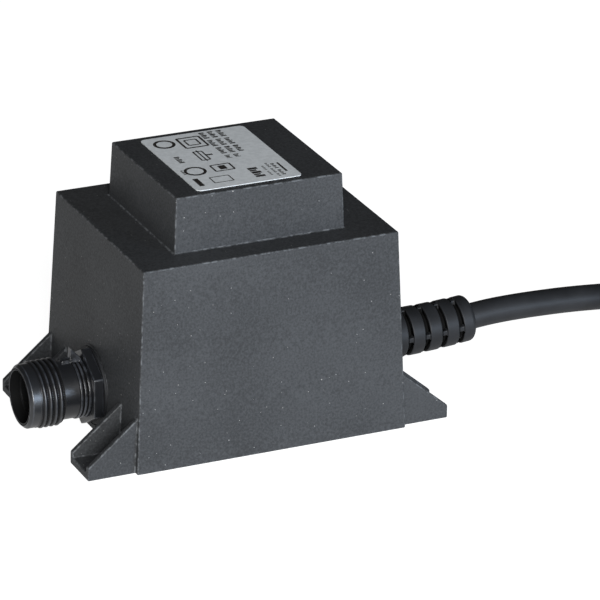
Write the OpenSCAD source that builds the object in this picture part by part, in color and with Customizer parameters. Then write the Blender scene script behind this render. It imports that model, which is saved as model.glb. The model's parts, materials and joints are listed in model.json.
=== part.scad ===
// Potted outdoor safety transformer with a screw socket for its low-voltage output and a mains lead.
// All lengths are millimetres. +Z is up, +X points along the mains lead as it leaves the body, and
// the origin is the middle of the base, between the four screw feet.

/* [Body] */
// Distance from the core to the body's outside at its base, along X
room_x = 7.5; // [7:0.1:12]
// Distance from the core to the body's outside at its base, along Y
room_y = 6.5; // [6:0.1:11]
// Inset of each end wall at the shoulder, from the mould's draft
draft_x = 2.4; // [1:0.1:2.8]
// Inset of the front and back walls at the shoulder
draft_y = 2.1; // [1:0.1:2.6]
// Wall thickness of the shell
wall = 2.2; // [1.6:0.1:2.5]

/* [Top block] */
// Room between the coil former and the raised block's wall, along X
block_room_x = 1.1; // [0.4:0.1:3]
// Room between the coil former and the raised block's wall, along Y
block_room_y = 4.2; // [0.4:0.1:7]
// Height of the raised block above the shoulder
block_h = 14.8; // [11:0.2:20]
// Inset of the raised block's walls at its top, from the draft
block_inset = 0.6; // [0.3:0.1:1]

/* [Feet] */
// Length of a foot beyond the body's base
foot_len = 12.8; // [11:0.2:16]
// Width of a foot
foot_w = 12.1; // [10:0.1:14]
// Distance from the body's front or back edge to a foot
foot_setback = 1.5; // [0.5:0.1:3]
// Thickness of a foot's plate
foot_plate = 2; // [1.5:0.1:3]
// Thickness of a foot's two side gussets
gusset_t = 1.6; // [1.2:0.1:2]
// Height at which the gussets meet the end wall
gusset_h = 14.9; // [10:0.1:20]
// Height of the gussets at the tip of the foot
gusset_tip = 3.5; // [2.5:0.1:5]
// Radius of the screw hole, for an M4 screw
screw_r = 2.25; // [1.6:0.05:2.75]
// Distance from the body's base edge to a screw hole
screw_out = 6.5; // [5.5:0.1:7.5]

/* [Label] */
// Size of the rating label along X
label_w = 29; // [20:0.5:36]
// Distance from the rating label to the block's front and back edges
label_margin = 2.2; // [1:0.1:6]
// Thickness of the rating label
label_t = 0.15; // [0.1:0.05:0.3]
// Corner radius of the rating label
label_r = 1.4; // [0.5:0.1:3]
// Shift of the label's middle from the block's middle, along X
label_shift = -1.6; // [-3:0.1:3]

/* [Output socket] */
// Height of the round boss in the wall above the base
axis_room = 1.4; // [0.4:0.1:5]
// Radius of the socket in front of the contact insert
socket_r = 6.6; // [6.2:0.05:6.8]
// Wall thickness of the plain neck
neck_wall = 1; // [0.8:0.05:1.6]
// Length of the neck from the wall to the thread
neck_len = 10.6; // [9:0.1:14]
// Step from the neck up to the root of the thread
thread_step = 0.75; // [0.4:0.05:1.2]
// Length of the threaded front
thread_len = 8.7; // [7:0.1:12]
// Length of the rim in front of the thread
rim_len = 0.8; // [0.5:0.1:1.5]
// Wall thickness of the rim at the mouth
rim_wall = 0.7; // [0.5:0.05:1]
// Radial depth of the seal recess at the mouth
mouth_step = 0.3; // [0.2:0.05:0.5]
// Depth of the seal recess at the mouth
mouth_len = 3; // [2:0.1:3.4]
// Depth of the socket from the mouth to the contact insert
socket_depth = 10.5; // [9:0.1:12]
// Thickness of the contact insert
insert_t = 6; // [4:0.1:7]
// Width of the inner shoulder that stops the insert
rear_step = 1.4; // [0.8:0.1:1.8]
// Wall thickness of the shell's rear sleeve
sleeve_wall = 1.4; // [1:0.1:2]
// Width of the flange that bears on the inside of the wall
flange_step = 1.8; // [1.2:0.1:2.6]
// Thickness of that flange
flange_t = 2; // [1.5:0.1:3]
// Length of the rear sleeve behind the flange
sleeve_len = 1.7; // [1:0.1:2.5]
// Radius of a contact pin
pin_r = 0.8; // [0.6:0.05:1]
// Distance between the two contact pins
pin_gap = 4.4; // [3.6:0.1:5.4]
// Length of a contact pin in front of the insert
pin_reach = 7; // [5:0.1:7.3]

/* [Lock nut and seal] */
// Least wall thickness of the nut, at the middle of its flats
nut_wall = 1.4; // [1:0.1:2.2]
// Thickness of the nut
nut_t = 2.65; // [2:0.05:3]
// Thickness of the seal between the nut and the wall
seal_t = 0.5; // [0.3:0.1:0.7]
// Width of the seal that shows beyond the nut's flats
seal_over = 1.1; // [0.9:0.1:1.8]
// Radial clearance of the seal recess, of the wall holes and of the nut
fit_gap = 0.1; // [0.05:0.05:0.2]

/* [Strain relief] */
// Wall thickness of the boot's slim sleeve at the bottom of its slots
slot_wall = 1.1; // [0.8:0.1:1.5]
// Depth of the slots where the boot leaves the wall
slot_depth = 2; // [1.2:0.1:2.4]
// Taper of the boot's radius from the wall to its tip
boot_taper = 0.5; // [0:0.1:0.8]
// Width of the boot's flange against the wall
boot_flange_w = 1.1; // [0.6:0.1:1.6]
// Thickness of the boot's flange
boot_flange_t = 1.4; // [1:0.1:1.8]
// Wall thickness of the boot's neck through the wall
boot_neck_wall = 1.7; // [1.2:0.1:2.2]
// Width of the boot's flange behind the wall
boot_back_w = 1.7; // [1.2:0.1:2.4]
// Thickness of that flange
boot_back_t = 2.1; // [1.4:0.1:2.6]
// Distance from the wall to the middle of the first slot
slot_first = 4.1; // [3.6:0.1:5]
// Distance between the slots
slot_pitch = 5; // [4.6:0.1:5.4]
// Number of slots along the boot
slot_count = 6; // [4:1:7]
// Width of a slot
slot_w = 1.5; // [1:0.1:2]
// Width of the four bridges that cross each slot
bridge_w = 1.4; // [1:0.1:2]
// Length of the plain tip after the last slot
tip_len = 3.75; // [3:0.25:6]
// Height by which the tip of the boot is bent up
boot_rise = 1.1; // [0:0.1:2]

/* [Mains lead] */
// Outer diameter of the lead
cord_d = 7; // [5.4:0.1:7.6]
// Wall thickness of the clamp on the lead behind the wall
clamp_wall = 2; // [1.2:0.1:2.6]
// Length of that clamp
clamp_len = 3; // [2:0.1:3.4]
// Diameter of an insulated conductor inside the lead
lead_d = 2.3; // [1.8:0.1:2.5]
// Number of turns in the coil after its run-in, half a turn more than a whole number
coil_turns = 5.5; // [3.5:1:7.5]
// Radius of the coil where its last turn ends, to the middle of the lead
coil_r = 47.12; // [44:0.01:60]
// Gap between the coil's turns and between its two layers
coil_gap = 0.7; // [0.6:0.1:1.2]

/* [Core] */
// Width of the middle leg of the core
core_leg = 20; // [16:0.5:24]
// Width of each winding window
window_w = 10; // [8:0.1:12]
// Length of the windows and legs
window_l = 30; // [24:0.5:36]
// Width of each outer leg
side_leg = 10; // [8:0.25:12]
// Width of the yokes that close the legs
yoke = 10; // [8:0.25:12]
// Height of the stack of laminations
core_stack = 21; // [17:0.5:26]
// Radius of the holes in the corners of the laminations
core_hole_r = 1.8; // [1.5:0.1:2.2]

/* [Former and windings] */
// Wall thickness of the coil former and its flanges
former_t = 1.2; // [0.8:0.1:1.3]
// Gap between the former's flanges and the core's outer legs
leg_gap = 0.4; // [0.3:0.1:1]
// Thickness of the tape over a winding
tape_t = 0.3; // [0.1:0.05:0.4]
// Length of a terminal rail beyond the flange that carries it
rail_out = 3.8; // [3:0.1:5]
// Height of a terminal rail
rail_h = 4; // [3:0.1:5]
// Length of a terminal rail
rail_l = 34; // [31:0.5:36]
// Side of a square solder tag
tag_w = 0.9; // [0.7:0.05:1.2]
// Length of a tag below its rail
tag_drop = 5.5; // [4.5:0.1:6]
// Height from the bend of a conductor to the lower end of its tag
tag_room = 0.8; // [0.4:0.1:3]
// Distance from the former's middle to its nearer tag
tag_near = 4; // [3.5:0.25:5]
// Distance from the former's middle to its farther tag
tag_far = 14; // [12:0.25:14.5]
// Length of the thermal cut-out
cutout_l = 14; // [11:0.5:16]
// Width of the thermal cut-out
cutout_w = 6.4; // [5:0.2:8]
// Thickness of the thermal cut-out
cutout_t = 3.4; // [2.6:0.1:3.8]

/* [Plug] */
// Width of the plug's face
plug_w = 35.3; // [34:0.1:38]
// Thickness of the plug
plug_t = 13.8; // [13.2:0.1:14.5]
// Length of the plug's grip
plug_l = 34; // [30:0.5:42]
// Length of the plug's own strain relief
plug_boot_l = 18; // [12:0.5:24]
// Radius of a plug pin
prong_r = 2; // [1.9:0.05:2.4]
// Length of the plug pins
prong_l = 19; // [17:0.5:20]
// Distance between the plug pins
prong_gap = 18.6; // [17.5:0.1:19]

/* [Hidden] */
$fn = 72;

// Overrun of every cut
cut = 1;
// Running gap between parts that are assembled, and between the parts and the resin
seat = 0.3;
// Depth of the resin's surface inside the base
resin_recess = 0.8;
// Gap inside the former round the leg, at its flange ends and above its winding
former_gap = 0.3;
flange_margin = 0.6;
// Gap between a winding and the flanges beside it
wind_gap = 0.1;
// Corner radii of the windings and of the former's flanges
wind_corner = 3;
flange_corner = 1.5;
// Thickness of the ribs that hold the core in the shell
rib_t = 1.6;
rib_share = 0.6;
// Radial room that the bosses at the wall holes have round the seal and round the boot
boss_room = 0.4;
// Three thin rings round the socket's neck
ring_h = 0.3;
ring_w = 0.6;
ring_pitch = 1.13;
ring_gap = 0.45;
ring_count = 3;
// Key and ramp lug on top of the neck: their gap from the nut, widths, heights and lengths
key_gap = 0.25;
key_w = 2;
key_h = 0.8;
key_len = 5.4;
lug_w = 1.8;
lug_h = 3.1;
lug_len = 3.1;
lug_lean = 0.25;
// Collar of a contact pin behind the insert, and the pin's length behind the shell's bore
collar_r = 1.35;
collar_t = 0.8;
pin_tail = 2;
// Distance from the wall at which the boot starts to bend, and the clearance of its bore
bend_from = 9;
bore_gap = 0.15;
// Depth of the bridges below the boot's surface, and how far pieces of the boot sink into each other
bridge_sink = 0.2;
boot_lap = 0.5;
shoulder_share = 0.35;
// Gap between the boot and the clamp, and the length of sheath behind the clamp
clamp_gap = 0.3;
sheath_end = 2;
// Bend radius of the conductors, and the gap between a conductor and its tag
lead_bend = 3;
tag_gap = 0.1;
tag_rise = 1.2;
// Thin wires of the thermal cut-out
wire_r = 0.45;
wire_bend = 1.5;
wire_out = 2.5;
wire_sink = 0.5;
// Chamfer and waist of the plug, as shares of its width and length
plug_corner_share = 0.08;
plug_straight_share = 0.32;
plug_rear_w = 13;
plug_rear_t = 10.5;
plug_boot_r = 5.2;
plug_boot_tip_r = 4.2;
prong_round_share = 0.6;
// Sides and steps of the swept tubes
cord_sides = 12;
bore_sides = 24;
coil_sides = 6;
coil_rings = 24;
lead_sides = 8;
lead_steps = 4;

// Derived sizes of the socket, its nut and its seal, and the height of the axis above the base
mouth_r = socket_r + mouth_step;
rim_r = mouth_r + rim_wall;
neck_r = socket_r + neck_wall;
thread_r = neck_r + thread_step;
rear_r = socket_r - rear_step;
sleeve_r = rear_r + sleeve_wall;
flange_r = neck_r + flange_step;
nut_af = 2 * (neck_r + fit_gap + nut_wall);
seal_r = nut_af / 2 + seal_over;
boss_r = seal_r + boss_room;
axis_z = boss_r + axis_room;

// Derived places of the former, the windings and the core, from the axis up
former_build = former_gap + former_t;
wind_t = window_w - former_build - tape_t - flange_margin - leg_gap;
wind_reach = former_build + wind_t;
tape_reach = wind_reach + tape_t;
former_reach = tape_reach + flange_margin;
former_half_x = core_leg / 2 + former_reach;
former_half_z = core_stack / 2 + former_reach;
former_half_y = window_l / 2 - former_gap;
chamber_l = former_half_y - former_t - former_t / 2;
chamber_y = former_t / 2 + chamber_l / 2;
tag_y = former_half_y + rail_out / 2;
tag_bottom = axis_z + lead_bend + tag_room;
former_bottom = tag_bottom + tag_drop;
core_mid = former_bottom + former_half_z;
core_top = core_mid + core_stack / 2;
core_w = core_leg + 2 * window_w + 2 * side_leg;
core_d = window_l + 2 * yoke;
cutout_z = core_mid - core_stack / 2 - tape_reach - wind_gap - cutout_t / 2;

// Derived sizes and places of the shell round them
body_w = core_w + 2 * room_x;
body_d = core_d + 2 * room_y;
body_h = core_top + seat + wall;
block_w = 2 * (former_half_x + block_room_x + wall);
block_d = 2 * (former_half_y + block_room_y + wall);
label_d = block_d - 2 * label_margin;
inner_w = body_w - 2 * wall;
inner_d = body_d - 2 * wall;
block_base_w = block_w + 2 * block_inset;
block_base_d = block_d + 2 * block_inset;
top_z = body_h + block_h;
wall_x = body_w / 2 - draft_x * axis_z / body_h;
foot_y = body_d / 2 - foot_setback - foot_w / 2;
screw_x = body_w / 2 + screw_out;

// Derived places of the socket, as distances from the wall
nut_end = seal_t + nut_t;
ring_first = nut_end + ring_gap;
key_from = nut_end + key_gap;
key_to = key_from + key_len;
lug_to = key_from + lug_len;
thread_from = neck_len;
thread_to = thread_from + thread_len;
mouth_at = thread_to + rim_len;
insert_at = mouth_at - socket_depth;
insert_back = insert_at - insert_t;
flange_at = -wall - fit_gap;
shell_back = flange_at - flange_t - sleeve_len;
pin_end = -wall_x - shell_back + pin_tail;

// Derived places of the boot and the lead, as distances from the wall
boot_len = slot_first + (slot_count - 1) * slot_pitch + slot_w / 2 + tip_len;
boot_bore = cord_d / 2 + bore_gap;
slot_r = boot_bore + slot_wall;
boot_r = slot_r + slot_depth;
boot_tip_r = boot_r - boot_taper;
boot_flange_r = boot_r + boot_flange_w;
boot_neck_r = boot_bore + boot_neck_wall;
boot_back_r = boot_neck_r + boot_back_w;
boot_boss_r = boot_flange_r + boss_room;
clamp_r = boot_bore + clamp_wall;
coil_step = cord_d + coil_gap;
clamp_at = -wall - fit_gap - boot_back_t - clamp_gap;
sheath_from = clamp_at - clamp_len - sheath_end;
lead_pair = lead_d / 2 + fit_gap;

// Rise and slope of the boot's axis at a distance d from the wall
bend_len = boot_len - bend_from;
function boot_rise_at(d) = boot_rise * pow(max(0, d - bend_from) / bend_len, 2);
function boot_tilt(d) = atan(2 * boot_rise * max(0, d - bend_from) / pow(bend_len, 2));
function boot_radius(d) = boot_r + (boot_tip_r - boot_r) * d / boot_len;
function boot_point(d) = [wall_x + d, 0, axis_z + boot_rise_at(d)];
boot_end = boot_point(boot_len);
boot_dir = [cos(boot_tilt(boot_len)), 0, sin(boot_tilt(boot_len))];

// The boot's axis from a distance behind the wall to a straight stretch over its end
function boot_axis(from, over) = concat(
    [boot_point(from)],
    [for (i = [0:slot_count]) boot_point(i * slot_pitch)],
    [boot_end - slot_w * boot_dir, boot_end + over * boot_dir]
);

// Route of the lead's free stretch: x from the end of the boot, y, and height above the base
cord_route = [
    [6.5, 0, 13.6], [13, 0, 13.75], [22, 0, 13.6], [31, 0, 13.2], [40.2, 0.3, 12.35], [45.9, 1.7, 11.2],
    [51.4, 4, 9.95], [56.4, 7.2, 8.7]
];
// Place where the lead joins its coil: x from the end of the boot, and y
coil_from = [61.5, 12.1];
// Turn of the coil's run-in and the lead's fall on it, and turn and height of the climb at its end
run_turn = 140;
run_fall = 3.75;
climb_turn = 36;
climb_h = 3.2;
// Route of the lead's tail over the coil: x and y from the end of the coil, and height above the base
tail_route = [[1.4, 10.2, 16.4], [5.3, 18, 18.1], [11.5, 24.2, 19.6], [19.3, 28.1, 20.8], [28, 29.5, 21.6]];
// Place of the plug's rear end, from the end of the coil, and its gap from the turns that it lies on
plug_from = [36, 29.5];
plug_gap = 0.2;
// Straight stretch of lead on both sides of each joint
joint_len = 1.5;

// Vector and path helpers
function unit(v) = v / norm(v);
function along(p, i) = unit(p[min(i + 1, len(p) - 1)] - p[max(i - 1, 0)]);
function carried(p, n, i = 0) =
    i == len(p) ? [] : let (t = along(p, i), m = unit(n - (n * t) * t)) concat([m], carried(p, m, i + 1));
function path_len(p, i = 1) = i == len(p) ? 0 : norm(p[i] - p[i - 1]) + path_len(p, i + 1);
function bend(p, a, b, r) =
    [for (k = [0:lead_steps]) let (t = 90 * k / lead_steps) p - r * a + r * (sin(t) * a + (1 - cos(t)) * b)];

// Coil of the lead: runs in and winds inward on the surface, climbs while it reverses, and winds outward
// above. The angle a is 0 at its +X side after the run-in, and grows toward -Y.
coil_half = 180 * coil_turns;
function coil_radius(a) = coil_r - coil_step * (coil_half - abs(a - coil_half)) / 360;
function coil_lift(a) =
    coil_step * (1 - cos(180 * min(1, max(0, (a - coil_half + 90) / 180)))) / 2
    + run_fall * pow(max(0, -a) / run_turn, 3)
    + climb_h * pow(max(0, 1 - (2 * coil_half - a) / climb_turn), 2);
function coil_arm(a) = coil_radius(a) * [cos(a), -sin(a)];
coil_mid = [boot_end[0], 0] + coil_from - coil_arm(-run_turn);
function coil_point(a) =
    [coil_mid[0] + coil_arm(a)[0], coil_mid[1] + coil_arm(a)[1], cord_d / 2 + coil_lift(a)];
coil_steps = round(coil_rings * (2 * coil_half + run_turn) / 360);
way_in = unit(coil_point(1 - run_turn) - coil_point(-run_turn));
way_out = unit(coil_point(2 * coil_half) - coil_point(2 * coil_half - 1));
coil_start = coil_point(-run_turn) - joint_len * way_in;
coil_end = coil_point(2 * coil_half) + joint_len * way_out;
plug_at = [
    coil_end[0] + plug_from[0], coil_end[1] + plug_from[1], cord_d + coil_step + plug_gap + plug_t / 2
];

coil_path = concat(
    [coil_start],
    [for (i = [0:coil_steps]) coil_point(i * (2 * coil_half + run_turn) / coil_steps - run_turn)],
    [coil_end]
);
free_path = concat(
    [boot_end, boot_end + joint_len * boot_dir],
    [for (p = cord_route) [boot_end[0] + p[0], p[1], p[2]]],
    [coil_start - joint_len * way_in, coil_start]
);
tail_path = concat(
    [coil_end, coil_end + joint_len * way_out],
    [for (p = tail_route) [coil_end[0] + p[0], coil_end[1] + p[1], p[2]]],
    [plug_at - [2 * joint_len, 0, 0], plug_at]
);
lead_path = concat(free_path, coil_path, tail_path);
echo(lead_length = path_len(free_path) + path_len(coil_path) + path_len(tail_path));
echo(coil_least_gap = min([
    for (i = [0:len(lead_path) - coil_rings / 2 - 1])
        for (j = [i + coil_rings / 2:len(lead_path) - 1])
            norm(lead_path[i] - lead_path[j])
]) - cord_d);

// Swept tube of triangles along a path, its first corner turned toward n
module tube(path, r, sides, n) {
    m = carried(path, n);
    rings = len(path);
    points = [
        for (i = [0:rings - 1])
            let (b = cross(along(path, i), m[i]))
                for (k = [0:sides - 1]) path[i] + r * (cos(360 * k / sides) * m[i] + sin(360 * k / sides) * b)
    ];
    ends = [path[0], path[rings - 1]];
    skin = [
        for (i = [0:rings - 2])
            for (k = [0:sides - 1])
                let (a = i * sides + k, b = i * sides + (k + 1) % sides)
                    for (f = [[a, a + sides, b], [b, a + sides, b + sides]]) f
    ];
    first = rings * sides;
    caps = [
        for (k = [0:sides - 1])
            for (f = [
                [first, k, (k + 1) % sides],
                [first + 1, (rings - 1) * sides + (k + 1) % sides, (rings - 1) * sides + k]
            ]) f
    ];
    polyhedron(points = concat(points, ends), faces = concat(skin, caps));
}

// Flat shape with round corners
module rounded(w, d, r) {
    square([w - 2 * r, d], center = true);
    square([w, d - 2 * r], center = true);
    for (x = [-1, 1]) {
        for (y = [-1, 1]) {
            translate([x * (w / 2 - r), y * (d / 2 - r)]) circle(r);
        }
    }
}

// Block whose four walls lean in by in_x and in_y over its height
module drafted(w, d, h, in_x, in_y) {
    intersection() {
        rotate([90, 0, 0])
            linear_extrude(d + 2 * cut, center = true)
                polygon([[-w / 2, 0], [w / 2, 0], [w / 2 - in_x, h], [in_x - w / 2, h]]);
        rotate([90, 0, 90])
            linear_extrude(w + 2 * cut, center = true)
                polygon([[-d / 2, 0], [d / 2, 0], [d / 2 - in_y, h], [in_y - d / 2, h]]);
    }
}

// Space inside the shell, which the resin fills
module cavity() {
    drafted(
        inner_w, inner_d, body_h - wall,
        draft_x * (body_h - wall) / body_h, draft_y * (body_h - wall) / body_h
    );
    translate([0, 0, body_h - wall - cut])
        drafted(
            block_base_w - 2 * wall, block_base_d - 2 * wall, block_h + cut,
            block_inset, block_inset
        );
}

// Turns a shape drawn along +Z to point out of the left (side -1) or right (side 1) wall
module out_of_wall(side, d = 0) {
    translate([side * (wall_x + d), 0, axis_z]) rotate([0, side * 90, 0]) children();
}

// Ring or disc from the distance a to the distance b outside a wall
module disc(side, a, b, r) {
    out_of_wall(side, a) cylinder(h = b - a, r = r);
}

// Eight upright ribs that hold the core under the shoulder
module core_ribs() {
    rib_h = body_h - core_top + core_stack;
    intersection() {
        drafted(body_w, body_d, body_h, draft_x, draft_y);
        translate([0, 0, body_h - rib_h / 2])
            for (s = [-1, 1]) {
                for (k = [-1, 1]) {
                    translate([s * (core_w + body_w + 2 * seat) / 4, k * rib_share * core_d / 2, 0])
                        cube([(body_w - core_w) / 2 - seat, rib_t, rib_h], center = true);
                    translate([k * rib_share * core_w / 2, s * (core_d + body_d + 2 * seat) / 4, 0])
                        cube([rib_t, (body_d - core_d) / 2 - seat, rib_h], center = true);
                }
            }
    }
}

// One foot at the +X end: a plate and two gussets, drawn from inside the wall outward
module foot() {
    root = body_w / 2 - wall;
    tip = body_w / 2 + foot_len;
    wall_top = body_w / 2 - draft_x * gusset_h / body_h;
    translate([root, -foot_w / 2, 0]) cube([tip - root, foot_w, foot_plate]);
    for (y = [-foot_w / 2, foot_w / 2 - gusset_t]) {
        translate([0, y + gusset_t, 0])
            rotate([90, 0, 0])
                linear_extrude(gusset_t)
                    polygon([[root, 0], [tip, 0], [tip, gusset_tip], [wall_top, gusset_h], [root, gusset_h]]);
    }
}

module housing() {
    color([0.24, 0.25, 0.27])
    difference() {
        union() {
            difference() {
                union() {
                    drafted(body_w, body_d, body_h, draft_x, draft_y);
                    translate([0, 0, body_h])
                        drafted(block_base_w, block_base_d, block_h, block_inset, block_inset);
                    for (s = [-1, 1]) {
                        for (k = [-1, 1]) {
                            translate([0, k * foot_y, 0]) rotate([0, 0, s < 0 ? 180 : 0]) foot();
                        }
                    }
                }
                cavity();
            }
            core_ribs();
            disc(-1, -wall, 0, boss_r);
            disc(1, -wall, 0, boot_boss_r);
        }
        disc(-1, 0, cut, boss_r);
        disc(1, 0, cut, boot_boss_r);
        disc(-1, -wall - cut, -wall, boss_r);
        disc(1, -wall - cut, -wall, boot_boss_r);
        disc(-1, -wall - cut, cut, neck_r + fit_gap);
        disc(1, -wall - cut, cut, boot_neck_r + fit_gap);
        for (s = [-1, 1]) {
            for (k = [-1, 1]) {
                translate([s * screw_x, k * foot_y, -cut])
                    cylinder(h = foot_plate + 2 * cut, r = screw_r);
            }
        }
    }
}

module rating_label() {
    color([0.76, 0.78, 0.78])
    translate([label_shift, 0, top_z]) linear_extrude(label_t) rounded(label_w, label_d, label_r);
}

// Box given by its lowest and highest corners
module block(a, b) {
    translate(a) cube(b - a);
}

// Resin that fills the shell from below, cast round the wound core, the wiring and the wall fittings
module potting_resin() {
    room = lead_d / 2 + seat;
    color([0.16, 0.15, 0.14])
    difference() {
        cavity();
        block([-body_w, -body_d, -cut], [body_w, body_d, resin_recess]);
        core_ribs();
        disc(-1, -wall - cut, 0, boss_r);
        disc(1, -wall - cut, 0, boot_boss_r);
        block(
            [-core_w / 2 - seat, -core_d / 2 - seat, core_mid - core_stack / 2 - seat],
            [core_w / 2 + seat, core_d / 2 + seat, core_top]
        );
        block(
            [-former_half_x - seat, -former_half_y - seat, former_bottom - seat],
            [former_half_x + seat, former_half_y + seat, core_mid + former_half_z + seat]
        );
        block(
            [-rail_l / 2 - seat, -former_half_y - rail_out - seat, former_bottom - seat],
            [rail_l / 2 + seat, former_half_y + rail_out + seat, core_mid]
        );
        block(
            [-former_half_x, -former_half_y, cutout_z - cutout_t / 2 - seat],
            [former_half_x, former_half_y, core_mid]
        );
        block(
            [tag_near - room, -lead_pair - room, axis_z - room],
            [wall_x + sheath_from, tag_y + room, former_bottom]
        );
        block(
            [-wall_x - shell_back, -tag_y - room, axis_z - room],
            [room - tag_near, pin_gap / 2 + room, former_bottom]
        );
        disc(-1, shell_back - pin_tail - seat, 0, flange_r + seat);
        disc(1, clamp_at - clamp_len - seat, 0, boot_back_r + seat);
        disc(1, sheath_from - cut, 0, cord_d / 2 + seat);
    }
}

module lamination_holes() {
    for (x = [-1, 1]) {
        for (y = [-1, 1]) {
            translate([x * (core_w - side_leg) / 2, y * (core_d - yoke) / 2]) circle(core_hole_r);
        }
    }
}

module core_e() {
    color([0.45, 0.46, 0.47])
    translate([0, 0, core_mid])
        linear_extrude(core_stack, center = true)
            difference() {
                translate([-core_w / 2, -window_l / 2]) square([core_w, window_l + yoke]);
                for (x = [-1, 1]) {
                    translate([x * (core_leg + window_w) / 2, 0]) square([window_w, window_l], center = true);
                }
                translate([-core_w / 2, -window_l / 2 - cut]) square([core_w, cut]);
                lamination_holes();
            }
}

module core_i() {
    color([0.45, 0.46, 0.47])
    translate([0, 0, core_mid])
        linear_extrude(core_stack, center = true)
            difference() {
                translate([-core_w / 2, -core_d / 2]) square([core_w, yoke]);
                lamination_holes();
            }
}

// Slab of a former or winding: a rounded frame round the core's middle leg, centred on y
module frame_slab(y, t, outer, inner, corner) {
    translate([0, y, core_mid])
        rotate([90, 0, 0])
            linear_extrude(t, center = true)
                difference() {
                    rounded(core_leg + 2 * outer, core_stack + 2 * outer, corner);
                    square([core_leg + 2 * inner, core_stack + 2 * inner], center = true);
                }
}

module coil_former() {
    color([0.85, 0.84, 0.78])
    difference() {
        union() {
            frame_slab(0, 2 * former_half_y, former_build, former_gap, former_t);
            for (y = [-former_half_y + former_t / 2, 0, former_half_y - former_t / 2]) {
                frame_slab(y, former_t, former_reach, former_gap, flange_corner);
            }
            for (s = [-1, 1]) {
                translate([0, s * (former_half_y + (rail_out - former_t) / 2), former_bottom + rail_h / 2])
                    cube([rail_l, rail_out + former_t, rail_h], center = true);
            }
        }
        for (s = [-1, 1]) {
            for (x = [tag_near, tag_far]) {
                translate([s * x, s * tag_y, former_bottom + rail_h / 2])
                    cube([tag_w + fit_gap, tag_w + fit_gap, rail_h + 2 * cut], center = true);
            }
        }
    }
}

module winding(s, copper) {
    color(copper)
        frame_slab(s * chamber_y, chamber_l - 2 * wind_gap, wind_reach, former_build, wind_corner);
}

module primary_winding() {
    winding(1, [0.62, 0.30, 0.14]);
}

module secondary_winding() {
    winding(-1, [0.72, 0.40, 0.18]);
}

module tape(s) {
    color([0.85, 0.72, 0.25])
        translate([0, s * chamber_y, core_mid])
            rotate([90, 0, 0])
                linear_extrude(chamber_l - 2 * wind_gap, center = true)
                    difference() {
                        rounded(
                            core_leg + 2 * tape_reach, core_stack + 2 * tape_reach, wind_corner + tape_t
                        );
                        rounded(core_leg + 2 * wind_reach, core_stack + 2 * wind_reach, wind_corner);
                    }
}

module primary_tape() {
    tape(1);
}

module secondary_tape() {
    tape(-1);
}

// Bimetal cut-out under the primary, wired between the live tag and the winding
module thermal_cutout() {
    start = [cutout_l / 2 - wire_sink, chamber_y, cutout_z];
    tag = [tag_far, tag_y - tag_w / 2 - tag_gap, cutout_z];
    out = [wire_sink - cutout_l / 2, chamber_y, cutout_z];
    rise = cutout_z + cutout_t / 2;
    color([0.55, 0.56, 0.58]) {
        translate([0, chamber_y, cutout_z]) cube([cutout_l, cutout_w, cutout_t], center = true);
        tube(
            concat([start], bend([tag_far, chamber_y, cutout_z], [1, 0, 0], [0, 1, 0], wire_bend), [tag]),
            wire_r, lead_sides, [0, 0, -1]
        );
        tube(
            concat(
                [out],
                bend([-cutout_l / 2 - wire_out, chamber_y, cutout_z], [-1, 0, 0], [0, 0, 1], wire_bend),
                [[-cutout_l / 2 - wire_out, chamber_y, rise]]
            ),
            wire_r, lead_sides, [0, 1, 0]
        );
    }
}

module tag(x, s) {
    top = former_bottom + rail_h + tag_rise;
    color([0.80, 0.68, 0.35])
        translate([s * x, s * tag_y, (top + tag_bottom) / 2])
            cube([tag_w, tag_w, top - tag_bottom], center = true);
}

module tag_live() {
    tag(tag_far, 1);
}

module tag_neutral() {
    tag(tag_near, 1);
}

module tag_out_a() {
    tag(tag_far, -1);
}

module tag_out_b() {
    tag(tag_near, -1);
}

// Insulated conductor: runs along X from its start, turns toward its tag and up to the tag's end
module conductor(start, x, s, hue) {
    turn = [s * x, start[1], axis_z];
    foot = [s * x, s * tag_y, axis_z];
    path = concat(
        [start],
        bend(turn, [-s, 0, 0], [0, s, 0], lead_bend),
        bend(foot, [0, s, 0], [0, 0, 1], lead_bend - tag_gap),
        [[s * x, s * tag_y, tag_bottom - tag_gap]]
    );
    color(hue) tube(path, lead_d / 2, lead_sides, [0, 0, -1]);
}

module lead_live() {
    conductor([wall_x + sheath_from, lead_pair, axis_z], tag_far, 1, [0.35, 0.18, 0.10]);
}

module lead_neutral() {
    conductor([wall_x + sheath_from, -lead_pair, axis_z], tag_near, 1, [0.12, 0.25, 0.60]);
}

module lead_out_a() {
    conductor([pin_end + tag_gap, -pin_gap / 2, axis_z], tag_far, -1, [0.60, 0.10, 0.10]);
}

module lead_out_b() {
    conductor([pin_end + tag_gap, pin_gap / 2, axis_z], tag_near, -1, [0.08, 0.08, 0.08]);
}

module socket_shell() {
    color([0.10, 0.10, 0.11]) {
        out_of_wall(-1)
            rotate_extrude()
                polygon([
                    [rear_r, shell_back], [sleeve_r, shell_back], [sleeve_r, flange_at - flange_t],
                    [flange_r, flange_at - flange_t], [flange_r, flange_at], [neck_r, flange_at],
                    [neck_r, thread_from], [thread_r, thread_from], [thread_r, thread_to],
                    [rim_r, mouth_at], [mouth_r, mouth_at], [mouth_r, mouth_at - mouth_len],
                    [socket_r, mouth_at - mouth_len], [socket_r, insert_back], [rear_r, insert_back]
                ]);
        for (i = [0:ring_count - 1]) {
            out_of_wall(-1, ring_first + i * ring_pitch - ring_w / 2)
                difference() {
                    cylinder(h = ring_w, r = neck_r + ring_h);
                    translate([0, 0, -cut]) cylinder(h = ring_w + 2 * cut, r = socket_r + fit_gap);
                }
        }
        key_lug();
    }
}

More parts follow.
